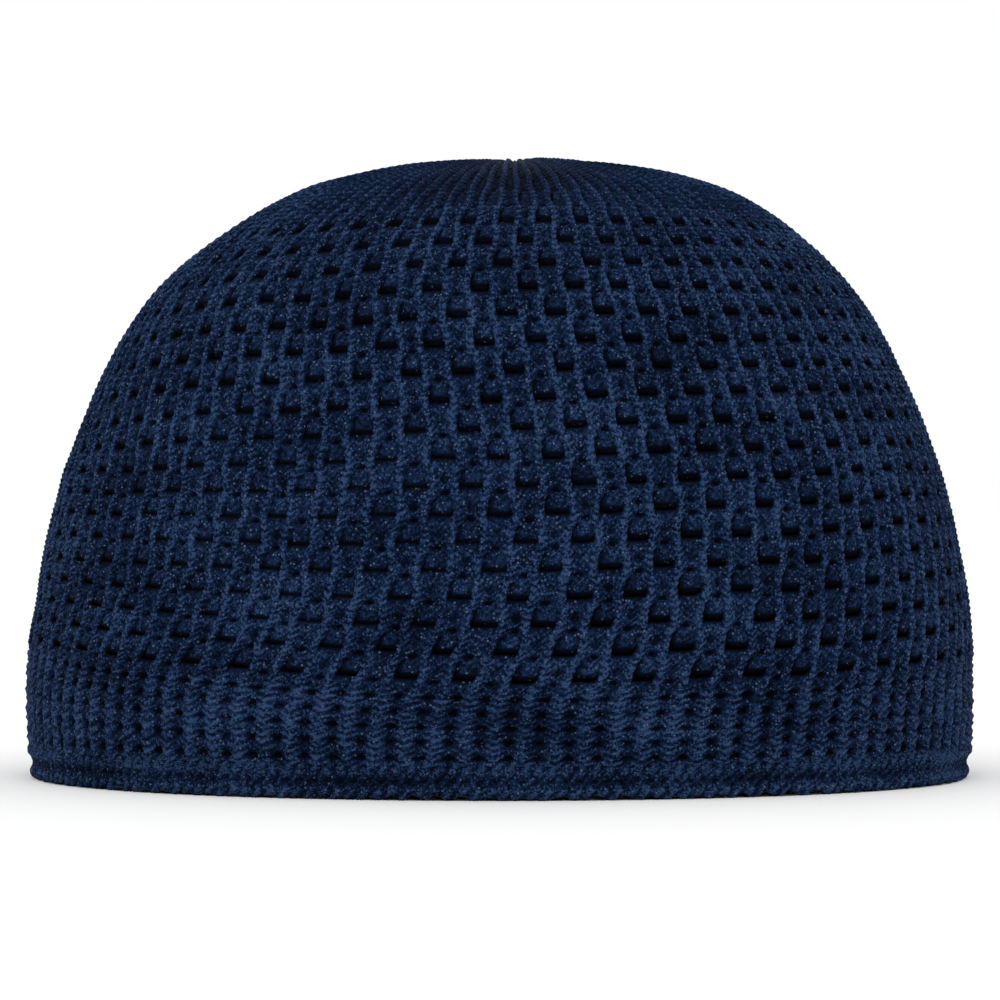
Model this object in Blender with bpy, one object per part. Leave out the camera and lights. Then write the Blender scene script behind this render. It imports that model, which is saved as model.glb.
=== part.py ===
"""A knitted kufi: a domed mesh crown, a close ribbed band and a rolled hem.

The cap stands on its hem, +Z up, with its front towards -Y. Its plan is an
ellipse, the shape of a head. Every ring of points lies on one skin, found
from how far round the cap it is, how far up the skin from the rim, and how
far out of the skin.
"""
import math
from collections import namedtuple

import bpy
import numpy as np

MM = 0.001

# Sizes over the ribs, side to side, front to back, and rim to top.
WIDTH = 192 * MM
DEPTH = 164 * MM
HEIGHT = 125 * MM

# The knit: ribs run up the cap, and the fabric between two ribs is a column.
# Each row has one eyelet to two columns.
EYELETS = 52
RIBS = 2 * EYELETS
CROWN_WALL = 1.5 * MM
BAND_WALL = 2.0 * MM
HEM_WALL = 2.4 * MM
RIB_HEIGHT = 1.0 * MM
BAND_RIB_HEIGHT = 0.6 * MM
SCALLOP = 0.7 * MM
HEM_HEIGHT = 7.0 * MM
BAND_TOP = 20.4 * MM
SEAM_GAP = 0.3 * MM
HEM_ROUNDING = 1.2 * MM

# Eyelets: alternate columns are open in one row and shut in the next.
EYELET_WIDTH = 4.0 * MM
EYELET_HEIGHT = 1.8 * MM
EYELET_ROWS = 2
ROW_PITCH = 5.1 * MM
FIRST_ROW = 1.3 * MM
RIB_SWAY = 0.5 * MM

# The rows of knit don't run level: they rise at both sides and tilt.
SIDE_RISE = 4.6 * MM
TILT = 1.4 * MM

# The top is drawn together in pleats, each as wide as two ribs.
PLEAT_HEIGHT = 1.3 * MM
DIMPLE = 2.0 * MM
DIMPLE_REACH = 0.10
GATHER_REACH = 0.045

# The outline from the front, bottom to top. Height is a share of HEIGHT,
# reach a share of the half width or half depth, and lean a share of the half
# width by which that level is shifted sideways.
Level = namedtuple("Level", ("height", "reach", "lean"))
PROFILE = (
    Level(0.000, 0.985, 0.000),
    Level(0.060, 0.996, 0.000),
    Level(0.150, 1.000, 0.000),
    Level(0.285, 0.983, 0.005),
    Level(0.410, 0.953, 0.005),
    Level(0.560, 0.891, 0.006),
    Level(0.655, 0.838, 0.006),
    Level(0.770, 0.750, 0.010),
    Level(0.865, 0.620, 0.022),
    Level(0.935, 0.480, 0.030),
    Level(0.978, 0.328, 0.030),
    Level(0.996, 0.190, 0.030),
)

# Levels of the rings above the eyelets, as shares of the run from the last
# eyelet row to the gather. Ribbed rings show every rib. Pleated rings show
# every second one, with the pleat's height there as a share of PLEAT_HEIGHT.
Pleat = namedtuple("Pleat", ("level", "height"))
RIBBED_LEVELS = (0.12, 0.30, 0.48, 0.62)
PLEATED_LEVELS = (Pleat(0.74, 1.00), Pleat(0.84, 0.95), Pleat(0.93, 0.80), Pleat(1.00, 0.60))
LINING_LEVELS = (0.16, 0.34, 0.52, 0.68, 0.83, 1.00)

# Points to each stretch of the outline, and to the whole way round it.
STEPS_UP = 24
STEPS_ROUND = 720


def hermite(points, steps):
    """Points of a smooth curve through the given ones, steps to a stretch."""
    points = np.asarray(points, float)
    chord = np.linalg.norm(np.diff(points[:, :2], axis=0), axis=1)
    knot = np.concatenate(([0.0], np.cumsum(chord)))
    slope = np.gradient(points, knot, axis=0)
    curve = []
    for start in range(len(points) - 1):
        length = knot[start + 1] - knot[start]
        for step in range(steps):
            t = step / steps
            curve.append(
                (2 * t**3 - 3 * t**2 + 1) * points[start]
                + (t**3 - 2 * t**2 + t) * length * slope[start]
                + (3 * t**2 - 2 * t**3) * points[start + 1]
                + (t**3 - t**2) * length * slope[start + 1]
            )
    curve.append(points[-1])
    return np.array(curve)


class Skin:
    """The cap's outer surface between the ribs, and how to find a point of it."""

    def __init__(self):
        lean = PROFILE[-1].lean
        top = (Level(1.0, DIMPLE_REACH, lean), Level(1.0 - DIMPLE / HEIGHT, 0.0, lean))
        curve = hermite(PROFILE + top, STEPS_UP)
        self.half_width = WIDTH / 2 - RIB_HEIGHT
        self.half_depth = DEPTH / 2 - RIB_HEIGHT
        mean = (self.half_width + self.half_depth) / 2
        self.height = curve[:, 0] * (HEIGHT - RIB_HEIGHT)
        self.reach = curve[:, 1]
        self.lean = curve[:, 2] * self.half_width
        steps = np.hypot(np.diff(self.height), np.diff(self.reach * mean))
        self.run = np.concatenate(([0.0], np.cumsum(steps)))
        self.length = self.run[-1]
        out = np.gradient(self.height, self.run)
        up = -np.gradient(self.reach * mean, self.run)
        size = np.hypot(out, up)
        self.out = out / size
        self.up = up / size
        turns = np.linspace(0, 2 * math.pi, STEPS_ROUND + 1)
        speed = np.hypot(self.half_width * np.cos(turns), self.half_depth * np.sin(turns))
        pieces = (speed[1:] + speed[:-1]) / 2 * np.diff(turns)
        arcs = np.concatenate(([0.0], np.cumsum(pieces)))
        self.turns = turns
        self.shares = arcs / arcs[-1]
        self.girth = arcs[-1]

    def turn(self, share):
        """The angle at which a share of the way round the cap is reached."""
        whole = np.floor(share)
        return np.interp(share - whole, self.shares, self.turns) + whole * 2 * math.pi

    def point(self, share, run, lift):
        """A point a share of the way round, run up the skin, lift out of it."""
        angle = self.turn(share)
        side = math.sin(angle)
        front = -math.cos(angle)
        out_x = side * self.half_depth
        out_y = front * self.half_width
        size = math.hypot(out_x, out_y)
        reach = self.at(run, self.reach)
        outward = lift * self.at(run, self.out) / size
        x = self.at(run, self.lean) + reach * self.half_width * side + outward * out_x
        y = reach * self.half_depth * front + outward * out_y
        return (x, y, self.at(run, self.height) + lift * self.at(run, self.up))

    def at(self, run, values):
        """One of the outline's values, a given run up the skin."""
        return float(np.interp(run, self.run, values))

    def run_at_height(self, height):
        """The run at which the skin first comes to a given height."""
        rising = slice(0, int(np.argmax(self.height)) + 1)
        return float(np.interp(height, self.height[rising], self.run[rising]))

    def run_at_reach(self, reach):
        """The run at which the skin has closed in to a given reach."""
        closing = slice(int(np.argmax(self.reach)), None)
        return float(np.interp(-reach, -self.reach[closing], self.run[closing]))


SKIN = Skin()


def row_run(share, run):
    """The run of a knit row that passes the front at the given run."""
    angle = SKIN.turn(share)
    return run + SIDE_RISE * math.sin(angle) ** 2 - TILT * math.sin(angle)


class Shell:
    """A closed body built ring by ring, from points to faces."""

    def __init__(self):
        self.points = []
        self.faces = []

    def ring(self, samples):
        """Add a ring of (share, run, lift) samples and return its indices."""
        first = len(self.points)
        self.points += [SKIN.point(*sample) for sample in samples]
        shares = [sample[0] for sample in samples]
        return list(zip(range(first, len(self.points)), shares))

    def stitch(self, low, high, outward=True, holes=()):
        """Join two rings, taking the nearer next point each time."""
        a = b = 0
        while a < len(low) or b < len(high):
            low_next, high_next = next_point(low, a), next_point(high, b)
            here_low, here_high = low[a % len(low)][0], high[b % len(high)][0]
            paired = len(low) == len(high)
            if paired:
                face = (here_low, low_next[0], high_next[0], here_high)
                step = (1, 1)
            elif b >= len(high) or (a < len(low) and low_next[1] <= high_next[1]):
                face = (here_low, low_next[0], here_high)
                step = (1, 0)
            else:
                face = (here_low, high_next[0], here_high)
                step = (0, 1)
            if not (paired and a in holes):
                self.faces.append(face if outward else face[::-1])
            a += step[0]
            b += step[1]

    def close_top(self, ring, run, lift, outward=True):
        """Close a ring with a fan to one point over the middle."""
        middle = len(self.points)
        self.points.append(SKIN.point(0.0, run, lift))
        for index, (here, _) in enumerate(ring):
            after = ring[(index + 1) % len(ring)][0]
            self.faces.append((here, after, middle) if outward else (after, here, middle))

    def build(self, name, material):
        """Turn the points and faces into an object of its own."""
        mesh = bpy.data.meshes.new(name)
        mesh.from_pydata(self.points, [], self.faces)
        mesh.materials.append(material)
        mesh.validate()
        mesh.shade_smooth()
        mesh.set_sharp_from_angle(angle=math.radians(35))
        thing = bpy.data.objects.new(name, mesh)
        bpy.context.scene.collection.objects.link(thing)
        return thing


def next_point(ring, position):
    """The index and the share of the ring's next point, past the end too."""
    index, share = ring[(position + 1) % len(ring)]
    return index, share + (position + 1) // len(ring)


def ribbed(run, crest, groove=0.0, level=False):
    """Samples of a ring with a crest on every rib and a groove between."""
    samples = []
    for rib in range(RIBS):
        for place, lift in ((rib / RIBS, crest), ((rib + 0.5) / RIBS, groove)):
            samples.append((place, run if level else row_run(place, run), lift))
    return samples


def plain(run, lift, count=RIBS, level=False):
    """Samples of a smooth ring, one in the middle of each column."""
    places = [(index + 0.5) / count for index in range(count)]
    return [(place, run if level else row_run(place, run), lift) for place in places]


def eyelet_ring(run, open_columns, lift, crest=None):
    """Samples at the eyelets' edge, and where in the ring each eyelet starts.

    An open column has a point on either side of its eyelet, a shut one has a
    point in its middle, and the ribs sway away from the eyelets.
    """
    girth = SKIN.girth * SKIN.at(run, SKIN.reach)
    half = EYELET_WIDTH / 2 / girth
    sway = RIB_SWAY / girth
    samples = []
    starts = []
    for column in range(RIBS):
        is_open = column % 2 == open_columns
        middle = (column + 0.5) / RIBS
        if crest is not None:
            rib = column / RIBS + (-sway if is_open else sway)
            samples.append((rib, row_run(rib, run), crest))
        if is_open:
            starts.append(len(samples))
        offsets = (-half, half) if is_open else (0.0,)
        samples += [(middle + side, row_run(middle + side, run), lift) for side in offsets]
    return samples, starts


def eyelet_corners(low, high, start):
    """The four corners of the eyelet that starts at a place in two rings."""
    return (low[start][0], low[start + 1][0], high[start + 1][0], high[start][0])


def cut_eyelets(shell, outer, inner, low, row):
    """Add one row: two rings each side, open at the eyelets, and their walls."""
    rings = {}
    starts = {}
    for side, lift, crest in (("out", 0.0, RIB_HEIGHT), ("in", -CROWN_WALL, None)):
        edges = [eyelet_ring(low + rise, (row + 1) % 2, lift, crest) for rise in (0.0, EYELET_HEIGHT)]
        rings[side] = [shell.ring(samples) for samples, _ in edges]
        starts[side] = edges[0][1]
    shell.stitch(outer[-1], rings["out"][0])
    shell.stitch(inner[-1], rings["in"][0], outward=False)
    shell.stitch(*rings["out"], holes=starts["out"])
    shell.stitch(*rings["in"], outward=False, holes=starts["in"])
    for out_start, in_start in zip(starts["out"], starts["in"]):
        outside = eyelet_corners(*rings["out"], out_start)
        inside = eyelet_corners(*rings["in"], in_start)
        for here in range(4):
            after = (here + 1) % 4
            shell.faces.append((outside[here], outside[after], inside[after], inside[here]))
    outer += rings["out"]
    inner += rings["in"]


def build_crown(material):
    """The dome: ribs outside, smooth inside, eyelets cut right through."""
    shell = Shell()
    seam = SKIN.run_at_height(BAND_TOP)
    outer = [shell.ring(ribbed(seam, RIB_HEIGHT))]
    inner = [shell.ring(plain(seam, -CROWN_WALL))]
    shell.stitch(outer[0], inner[0], outward=False)
    for row in range(EYELET_ROWS):
        cut_eyelets(shell, outer, inner, seam + FIRST_ROW + row * ROW_PITCH, row)
    start = seam + FIRST_ROW + (EYELET_ROWS - 1) * ROW_PITCH + EYELET_HEIGHT
    gather = SKIN.run_at_reach(GATHER_REACH)
    above = len(outer)
    for level in RIBBED_LEVELS:
        run = start + level * (gather - start)
        outer.append(shell.ring(fade(ribbed(run, RIB_HEIGHT), level)))
    for level, height in PLEATED_LEVELS:
        run = start + level * (gather - start)
        outer.append(shell.ring(fade(pleated(run, height * PLEAT_HEIGHT), level)))
    for level in LINING_LEVELS:
        run = start + level * (gather - start)
        inner.append(shell.ring(fade(plain(run, -CROWN_WALL), level)))
    for low, high in zip(outer[above - 1:], outer[above:]):
        shell.stitch(low, high)
    for low, high in zip(inner[above - 1:], inner[above:]):
        shell.stitch(low, high, outward=False)
    shell.close_top(outer[-1], SKIN.length, 0.0)
    shell.close_top(inner[-1], SKIN.length, -CROWN_WALL, outward=False)
    return shell.build("crown", material)


def pleated(run, height):
    """Samples of a ring in the gather, where each pleat takes two ribs."""
    samples = []
    for pleat in range(RIBS // 2):
        for place, lift in ((2 * pleat / RIBS, height), ((2 * pleat + 1) / RIBS, 0.0)):
            samples.append((place, row_run(place, run), lift))
    return samples


def fade(samples, level):
    """Let the rows run level again towards the top."""
    flat = sum(sample[1] for sample in samples) / len(samples)
    return [(share, flat + (run - flat) * (1 - level), lift) for share, run, lift in samples]


def build_band(material):
    """The close-knit band between the crown and the hem."""
    shell = Shell()
    low = SKIN.run_at_height(HEM_HEIGHT)
    top = SKIN.run_at_height(BAND_TOP) - SEAM_GAP
    outer = [shell.ring(ribbed(low, BAND_RIB_HEIGHT, level=True))]
    inner = [shell.ring(plain(low, -BAND_WALL, level=True))]
    shell.stitch(outer[0], inner[0], outward=False)
    halfway = [(share, (low + run) / 2, lift) for share, run, lift in ribbed(top, BAND_RIB_HEIGHT)]
    outer.append(shell.ring(halfway))
    outer.append(shell.ring(ribbed(top, BAND_RIB_HEIGHT)))
    inner.append(shell.ring(plain(top, -BAND_WALL)))
    shell.stitch(outer[0], outer[1])
    shell.stitch(outer[1], outer[2])
    shell.stitch(inner[0], inner[1], outward=False)
    shell.stitch(outer[2], inner[1])
    return shell.build("band", material)


def build_hem(material):
    """The hem: scalloped outside and below, flat where it rests."""
    shell = Shell()
    top = SKIN.run_at_height(HEM_HEIGHT) - SEAM_GAP
    foot = shell.ring(ribbed(0.0, SCALLOP - HEM_ROUNDING, -HEM_ROUNDING, level=True))
    side = shell.ring(ribbed(HEM_ROUNDING, SCALLOP, level=True))
    brow = shell.ring(ribbed(top, SCALLOP, level=True))
    inner_foot = shell.ring(plain(0.0, -HEM_WALL, level=True))
    inner_brow = shell.ring(plain(top, -HEM_WALL, level=True))
    shell.stitch(foot, inner_foot, outward=False)
    shell.stitch(foot, side)
    shell.stitch(side, brow)
    shell.stitch(inner_foot, inner_brow, outward=False)
    shell.stitch(brow, inner_brow)
    for index, _ in foot + inner_foot:
        x, y, _ = shell.points[index]
        shell.points[index] = (x, y, 0.0)
    return shell.build("hem", material)


def yarn(name, color, roughness):
    """A knitted nylon finish."""
    material = bpy.data.materials.new(name)
    material.use_nodes = True
    surface = material.node_tree.nodes["Principled BSDF"]
    surface.inputs["Base Color"].default_value = (*color, 1.0)
    surface.inputs["Roughness"].default_value = roughness
    surface.inputs["Metallic"].default_value = 0.0
    return material


def main():
    for thing in list(bpy.data.objects):
        bpy.data.objects.remove(thing, do_unlink=True)
    build_crown(yarn("crown_yarn", (0.010, 0.032, 0.085), 0.62))
    build_band(yarn("band_yarn", (0.009, 0.028, 0.075), 0.66))
    build_hem(yarn("hem_yarn", (0.011, 0.034, 0.088), 0.60))


main()
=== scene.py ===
# %% [markdown]
# # A knitted kufi, and how to build one in Blender
#
# This is a brimless cap knitted in navy nylon. It has three kinds of knit:
# an open mesh for the crown, a close band of ribs below it, and a rolled hem.
# The plain solids of the part come first, as a frame. Each one is then
# replaced by a detailed surface that keeps its place and its outline.
# Lengths are in metres, +Z is up, and the front of the cap faces -Y.
#
# The yarn could be modelled as one long tube that loops through itself, but
# that takes millions of faces. A smooth dome with a bump would be light, but
# it would have no holes, and its outline would be bare. So the knit is one
# surface here, worked out as a function: every rib, stitch and eyelet is in
# it, and each has few faces.

import bpy
import numpy as np
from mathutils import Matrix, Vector


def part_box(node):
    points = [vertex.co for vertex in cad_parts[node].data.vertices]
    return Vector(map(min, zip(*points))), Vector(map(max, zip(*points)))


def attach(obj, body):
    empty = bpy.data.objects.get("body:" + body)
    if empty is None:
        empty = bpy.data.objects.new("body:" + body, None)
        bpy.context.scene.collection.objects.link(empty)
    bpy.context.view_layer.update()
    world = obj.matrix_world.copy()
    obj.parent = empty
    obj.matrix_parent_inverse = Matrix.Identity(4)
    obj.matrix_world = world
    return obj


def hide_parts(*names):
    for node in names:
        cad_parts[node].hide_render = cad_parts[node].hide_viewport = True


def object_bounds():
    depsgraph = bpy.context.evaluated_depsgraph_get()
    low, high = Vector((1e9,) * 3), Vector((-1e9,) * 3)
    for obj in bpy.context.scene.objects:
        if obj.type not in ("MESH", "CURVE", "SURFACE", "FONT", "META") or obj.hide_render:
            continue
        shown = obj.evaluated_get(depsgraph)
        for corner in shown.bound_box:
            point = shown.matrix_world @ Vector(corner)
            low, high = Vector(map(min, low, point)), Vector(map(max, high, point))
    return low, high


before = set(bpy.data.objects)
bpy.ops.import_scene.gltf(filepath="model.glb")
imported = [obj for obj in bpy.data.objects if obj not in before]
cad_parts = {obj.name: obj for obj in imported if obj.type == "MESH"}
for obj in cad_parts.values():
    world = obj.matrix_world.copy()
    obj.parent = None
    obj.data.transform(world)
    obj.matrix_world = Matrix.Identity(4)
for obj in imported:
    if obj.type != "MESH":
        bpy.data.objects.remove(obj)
frame_low, frame_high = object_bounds()
MM = 0.001
print("frame", [round(side / MM, 1) for side in frame_high - frame_low], "mm")

# %% [markdown]
# ## The skin that every stitch lies on
#
# A cap is a dome with an oval plan. Two numbers find a place on it: how far
# round it is, as a share of the whole way, and how far up the cloth from the
# rim. A third says how far out of the cloth a point stands. The outline is a
# short table of shares with a smooth curve through it, as in the frame, so
# that the knit follows the solids that it replaces. A scaled sphere would be
# shorter to write, but this cap is flatter on top and straighter at its foot.

# %% The outline and its sizes
RIB_HEIGHT = 1.0 * MM
HALF_WIDTH = (frame_high.x - frame_low.x) / 2 - RIB_HEIGHT
HALF_DEPTH = (frame_high.y - frame_low.y) / 2 - RIB_HEIGHT
DOME_HEIGHT = frame_high.z - RIB_HEIGHT
HEM_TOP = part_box("hem")[1].z
SEAM_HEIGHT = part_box("crown")[0].z

# Height as a share of the dome's, reach as a share of the half plan, and lean
# as a share of the half width by which that level is shifted sideways.
OUTLINE = np.array([
    # height, reach, lean
    (0.000, 0.985, 0.000),
    (0.060, 0.996, 0.000),
    (0.150, 1.000, 0.000),
    (0.285, 0.983, 0.005),
    (0.410, 0.953, 0.005),
    (0.560, 0.891, 0.006),
    (0.655, 0.838, 0.006),
    (0.770, 0.750, 0.010),
    (0.865, 0.620, 0.022),
    (0.935, 0.480, 0.030),
    (0.978, 0.328, 0.030),
    (0.996, 0.190, 0.030),
    (1.000, 0.100, 0.030),
    (0.984, 0.000, 0.030),
])
OUTLINE_STEPS = 24
PLAN_STEPS = 721


def smooth_curve(points, steps):
    """A Hermite cubic through the points: each stretch is the sum of its two
    ends and their slopes, weighted by 2t^3-3t^2+1, t^3-2t^2+t, 3t^2-2t^3 and
    t^3-t^2, with t from 0 to 1."""
    chord = np.linalg.norm(np.diff(points[:, :2], axis=0), axis=1)
    knot = np.concatenate(([0.0], np.cumsum(chord)))
    slope = np.gradient(points, knot, axis=0)
    t = (np.arange(steps) / steps)[None, :, None]
    start, end = points[:-1, None], points[1:, None]
    leave = slope[:-1, None] * chord[:, None, None]
    arrive = slope[1:, None] * chord[:, None, None]
    curve = (
        (2 * t**3 - 3 * t**2 + 1) * start + (t**3 - 2 * t**2 + t) * leave
        + (3 * t**2 - 2 * t**3) * end + (t**3 - t**2) * arrive
    )
    return np.concatenate((curve.reshape(-1, points.shape[1]), points[-1:]))


curve = smooth_curve(OUTLINE, OUTLINE_STEPS)
level_height = curve[:, 0] * DOME_HEIGHT
level_reach = curve[:, 1]
level_lean = curve[:, 2] * HALF_WIDTH
half_plan = (HALF_WIDTH + HALF_DEPTH) / 2
level_steps = np.hypot(np.diff(level_height), np.diff(level_reach * half_plan))
level_run = np.concatenate(([0.0], np.cumsum(level_steps)))
level_out = np.gradient(level_height, level_run)
level_up = -np.gradient(level_reach * half_plan, level_run)
level_size = np.hypot(level_out, level_up)

# The length along the oval up to each angle, for even steps round the cap.
turns = np.linspace(0, 2 * np.pi, PLAN_STEPS)
pace = np.hypot(HALF_WIDTH * np.cos(turns), HALF_DEPTH * np.sin(turns))
arcs = np.concatenate(([0.0], np.cumsum((pace[1:] + pace[:-1]) / 2 * np.diff(turns))))
GIRTH = arcs[-1]
print("girth", round(GIRTH / MM), "mm, rim to top over the cloth", round(level_run[-1] / MM), "mm")

# The part of the outline, well below its top, where each height has one run.
RISING = slice(0, 200)


def run_at(height):
    """The run over the cloth at which the outline reaches a height."""
    return np.interp(height, level_height[RISING], level_run[RISING])


def turn_of(share):
    """The angle at which a share of the oval's length is reached."""
    whole = np.floor(share)
    return np.interp(share - whole, arcs / GIRTH, turns) + whole * 2 * np.pi


def skin(share, run, lift):
    """Points on the cap: the oval's sine and cosine times the reach at that
    run, plus lift times the unit vector out of the cloth."""
    angle = turn_of(share)
    side, front = np.sin(angle), -np.cos(angle)
    plan = np.hypot(side * HALF_DEPTH, front * HALF_WIDTH)
    reach = np.interp(run, level_run, level_reach)
    out = lift * np.interp(run, level_run, level_out / level_size) / plan
    lean = np.interp(run, level_run, level_lean)
    x = lean + reach * HALF_WIDTH * side + out * side * HALF_DEPTH
    y = reach * HALF_DEPTH * front + out * front * HALF_WIDTH
    z = np.interp(run, level_run, level_height)
    z = z + lift * np.interp(run, level_run, level_up / level_size)
    return np.stack((x, y, z), axis=-1)


# %% [markdown]
# ## The knitting chart
#
# Thin ribs run up the cap, and the cloth between two ribs is a column. In each
# row of eyelets every second column has one, and the next row has them in the
# other columns. Above its eyelet a column is a smooth, low patch, with a dark
# line down its left side. Then comes a small dark dot, and then a full block
# of stitches up to the next eyelet, with a shallow hollow in its middle. A
# column is widest at its eyelet, so the ribs sway a little from side to side.
#
# The grid of points follows the chart: a fixed number of points across each
# rib and each column, and a fixed number of rings to a row. Widening a column
# only moves its points apart. An even grid cut with holes afterwards would
# leave ragged edges, and this one has its edges where the knit has them.

# %% The chart
RIBS = 104
RIB_STEPS = np.array([0.0, 0.22, 0.50, 0.78, 1.0])
COLUMN_STEPS = np.array([0.10, 0.30, 0.50, 0.70, 0.90])
COLUMN_EDGE = len(RIB_STEPS) - 1
ROLES = len(RIB_STEPS) + len(COLUMN_STEPS)

ROW_RINGS = 12
EYELET_RINGS = 4
BELOW_RINGS = 4
BAND_RINGS = 36
OPEN_ROWS = 18
ROWS = 25
TOP_RING = 304

# Where the middle of an eyelet is on the front, up the cloth. Each row is a
# little further from the one below than that was from its own.
FIRST_EYELET = 22.7 * MM
ROW_PITCH = 4.85 * MM
ROW_GROWTH = 0.0458 * MM
MIDDLE = EYELET_RINGS / ROW_RINGS / 2
SEAM_RUN = run_at(SEAM_HEIGHT)
HEM_RUN = run_at(HEM_TOP)
HEM_OVERLAP = 0.5 * MM
BAND_FOOT = HEM_RUN - HEM_OVERLAP


def ease(value):
    """A smooth step, 3t^2-2t^3, of a value held between 0 and 1."""
    value = np.clip(value, 0.0, 1.0)
    return value * value * (3 - 2 * value)


def eyelet_run(row):
    """The run on the front: the first eyelet's, plus pitch times rows, plus
    growth times rows squared."""
    return FIRST_EYELET + ROW_PITCH * (row - MIDDLE) + ROW_GROWTH * (row - MIDDLE) ** 2


def front_run(row):
    """The run of a row coordinate: even steps in the band and below the first
    eyelet, then the rows' own."""
    below = BELOW_RINGS / ROW_RINGS
    foot = SEAM_RUN + (eyelet_run(0.0) - SEAM_RUN) * (1 + row / below)
    band = BAND_FOOT + (SEAM_RUN - BAND_FOOT) * (1 + (row + below) * ROW_RINGS / BAND_RINGS)
    return np.where(row > 0, eyelet_run(row), np.where(row > -below, foot, band))


top_row = float(front_run(np.array(ROWS)))
print(RIBS * ROLES, "points to a ring, top row at", round(top_row / MM, 1), "mm")

# %% [markdown]
# ## How the rows hang
#
# The rows don't run level, and the ribs don't run straight up. Each row rises
# at the two sides, tilts a little, and has slid round by part of a column. The
# columns are also a little wider at the front and back than at the sides. A
# lattice or a cloth simulation could pull the rows about, but a short table
# says more plainly how much each row moves, and a smooth curve joins them.

# %% The hang of the rows
HANG = np.array([
    # row, side rise (mm), tilt (mm), slide (columns), spread
    (-3.4, 0.0, 0.0, -1.30, 0.04),
    (-0.3, 4.6, -1.4, -0.88, 0.05),
    (1.0, 4.5, -0.9, -0.45, 0.05),
    (3.0, 4.0, 0.6, 0.00, 0.05),
    (6.0, 2.7, 1.8, 0.32, 0.05),
    (8.0, 0.8, 3.0, 0.31, 0.05),
    (10.0, 0.0, 4.0, 0.12, 0.06),
    (12.0, -0.8, 3.2, -0.17, 0.08),
    (15.0, -1.4, 2.2, -0.68, 0.11),
    (18.0, -0.8, 1.2, -0.95, 0.13),
    (21.0, -0.2, 0.4, -1.00, 0.09),
    (26.0, 0.0, 0.0, -1.00, 0.00),
])
HANG_STEPS = 12
hang = smooth_curve(HANG, HANG_STEPS)
print("rows rise by up to", HANG[:, 1].max(), "mm at the sides")


def hung(share, row):
    """Share and run where a row hangs: the share slides round and spreads by a
    double sine, and the run rises by the sine squared and tilts by the sine."""
    rise, tilt, slide, spread = (
        np.interp(row, hang[:, 0], hang[:, place]) for place in (1, 2, 3, 4))
    share = share + slide / RIBS + spread * np.sin(4 * np.pi * share) / (4 * np.pi)
    angle = turn_of(share)
    return share, front_run(row) + (rise * np.sin(angle) ** 2 + tilt * np.sin(angle)) * MM


# %% [markdown]
# ## Unevenness
#
# No stitch is quite like the next. Slow waves over the whole cap stand for
# the pull of the cloth, and a number for each cell for its own slackness. A
# noise texture on a Displace modifier could do the first, but it knows nothing
# of rows and columns. Both come from seeded numbers here, so that each run
# gives the same cap.

# %% Waves and cells
SEED = 52
SPARE_ROWS = 4
chance = np.random.default_rng(SEED)


def waves(share, row, count, around, along):
    """A sum of sine waves round the cap and up it, with seeded counts and phases."""
    total = 0.0
    for _ in range(count):
        turns_round = int(chance.integers(1, around + 1))
        rows_up = chance.uniform(-along, along)
        start = chance.uniform()
        total = total + np.sin(2 * np.pi * (turns_round * share + rows_up * row + start))
    return total / np.sqrt(count)


def cells(row):
    """One seeded number for each column and row, run smoothly from row to row."""
    table = chance.normal(0.0, 1.0, (ROWS + 2 * SPARE_ROWS, RIBS))
    place = np.clip(row + SPARE_ROWS, 0, ROWS + 2 * SPARE_ROWS - 2)
    low = np.floor(place).astype(int)
    part = ease(place - low)[:, None]
    return table[low] * (1 - part) + table[low + 1] * part


# %% [markdown]
# ## The measures of a cell
#
# Everything on the cap follows from two numbers: how far across its rib or
# column a point is, and its phase, which is how far it is up its column from
# an eyelet. An eyelet opens and closes as a smooth step of the phase. One cell
# could be modelled by hand and copied by an Array modifier. Written as sums of
# bells and smooth steps, every cell can have its own slackness. Low on the
# front, to the left, the cloth is less stretched, and its eyelets are nearly
# shut.

# %% Phases, and where eyelets open
RIB_PART = 0.34
STITCH_SLANT = 3.3
SLACK_SHARE = -0.075
SLACK_ROW = 5.5
SLACK_SIZE = (0.075, 4.5)
COURSE_RINGS = 3
COURSE_START = 0.4
BAND_PITS = 5
GATHER_ROW = 17.2
MOST_SHUT = 0.145
chart_across = np.concatenate((
    RIB_STEPS * RIB_PART, RIB_PART + COLUMN_STEPS * (1 - RIB_PART)))


def stitch_phase(across, course):
    """The course less the slant times the distance from the nearer middle, of
    the rib or the column."""
    nearer = np.minimum(np.abs(across - RIB_PART / 2), np.abs(across - (1 + RIB_PART) / 2))
    return course - STITCH_SLANT * nearer


def opening(phase):
    """How open a column is: it eases open before its eyelet, and shut after
    its patch. Its phase is 0 at the foot of its eyelet and 2 at the next."""
    return np.maximum(ease((phase - 1.74) / 0.26), 1 - ease((phase - 0.52) / 0.36))


def from_middle(phase):
    """Rows up from the middle of the nearest eyelet of the column."""
    return (phase + 0.3) % 2 - 0.3 - MIDDLE


def pinch(phase):
    """Up at the foot of an eyelet, down at its top, and nothing away from it."""
    away = from_middle(phase)
    return -away / MIDDLE * np.exp(-(away / (1.6 * MIDDLE)) ** 2) * 1.48


def shutting(row, count):
    """How nearly shut eyelets are, for each row and column: a bell round the
    slackest place of the front."""
    round_share = np.arange(count)[None, :] / count
    away = (round_share - SLACK_SHARE + 0.5) % 1 - 0.5
    return np.exp(-(away / SLACK_SIZE[0]) ** 2 - ((row - SLACK_ROW) / SLACK_SIZE[1]) ** 2)


# %% [markdown]
# ## Across a rib and its column
#
# A column widens where it is open, and pushes the ribs on both sides away. So
# a rib has no width of its own: it fills what the two columns beside it leave.
# The points could be moved afterwards by a lattice, but it is simpler to put
# them in the right place at once.

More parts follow.
